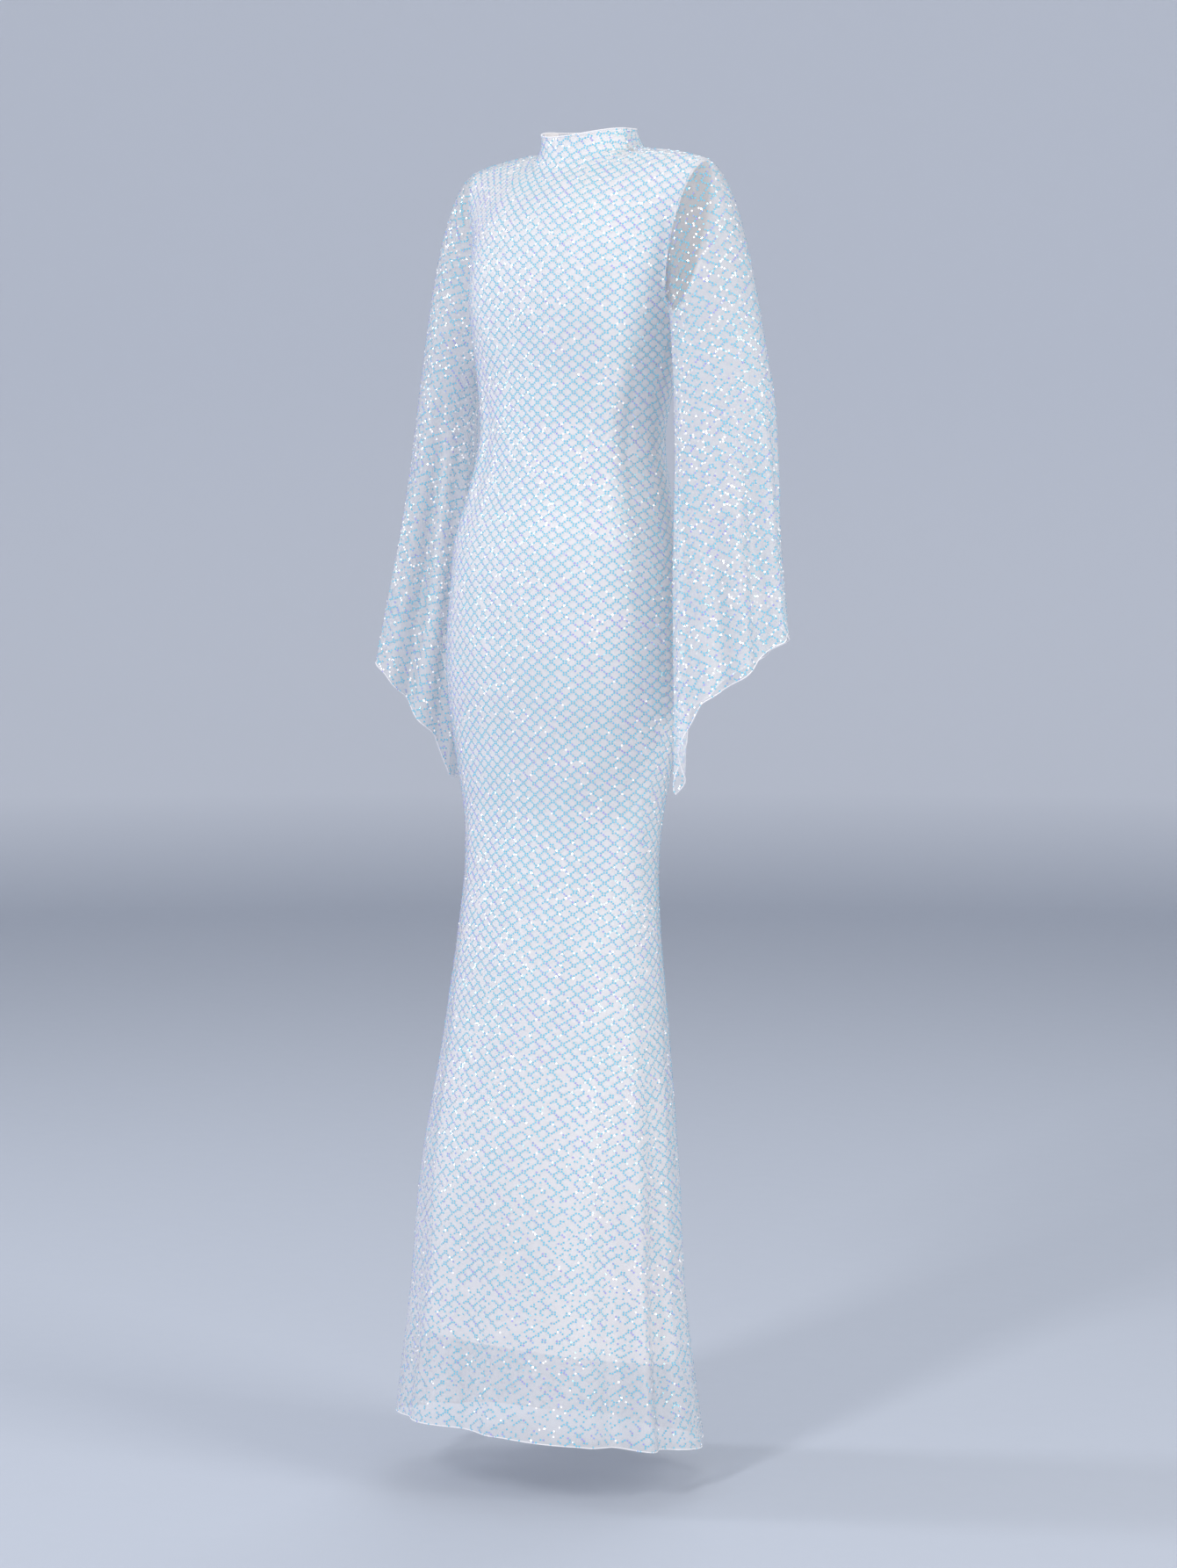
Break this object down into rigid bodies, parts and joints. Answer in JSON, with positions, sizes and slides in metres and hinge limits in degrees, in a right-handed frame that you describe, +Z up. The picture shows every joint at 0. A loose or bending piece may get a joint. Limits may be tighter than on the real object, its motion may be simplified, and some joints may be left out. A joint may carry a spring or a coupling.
{
  "type": "sequinned evening dress",
  "caption": "Floor-length fitted evening dress of sequinned net over a plain lining, with a grown-on stand collar and long bell sleeves with pointed hems, hollow as worn.",
  "frame": {"origin": "between the wearer's shoulders at the height where the shoulder seams meet the base of the neck, less 20 mm; the dress hangs from here", "axes": "+Z up, -Y the way the dress faces, +X towards the dress's own left sleeve"},
  "size_m": [0.6152, 0.3408, 1.5139],
  "materials": {
    "net": "white stretch net set with small clear iridescent sequins",
    "sleeve_net": "the same sequinned net with nothing behind it, so it shows greyer",
    "lining": "plain matt white lining",
    "tape": "plain white zip tape",
    "metal": "bright plated metal"
  },
  "bodies": {
    "dress": {"front": "net", "back_left": "net", "back_right": "net", "sleeve_left": "sleeve_net", "sleeve_right": "sleeve_net", "lining_front": "lining", "lining_back_left": "lining", "lining_back_right": "lining", "zip_tape": "tape", "zip_slider": "metal"},
    "pull": {"zip_pull": "metal"}
  },
  "joints": [
    {"name": "pull_swing", "type": "hinge", "parent": "dress", "child": "pull", "pos_m": [0, 0.06196, 0.04471], "axis": [1, 0, 0], "range_deg": [0, 165]}
  ]
}
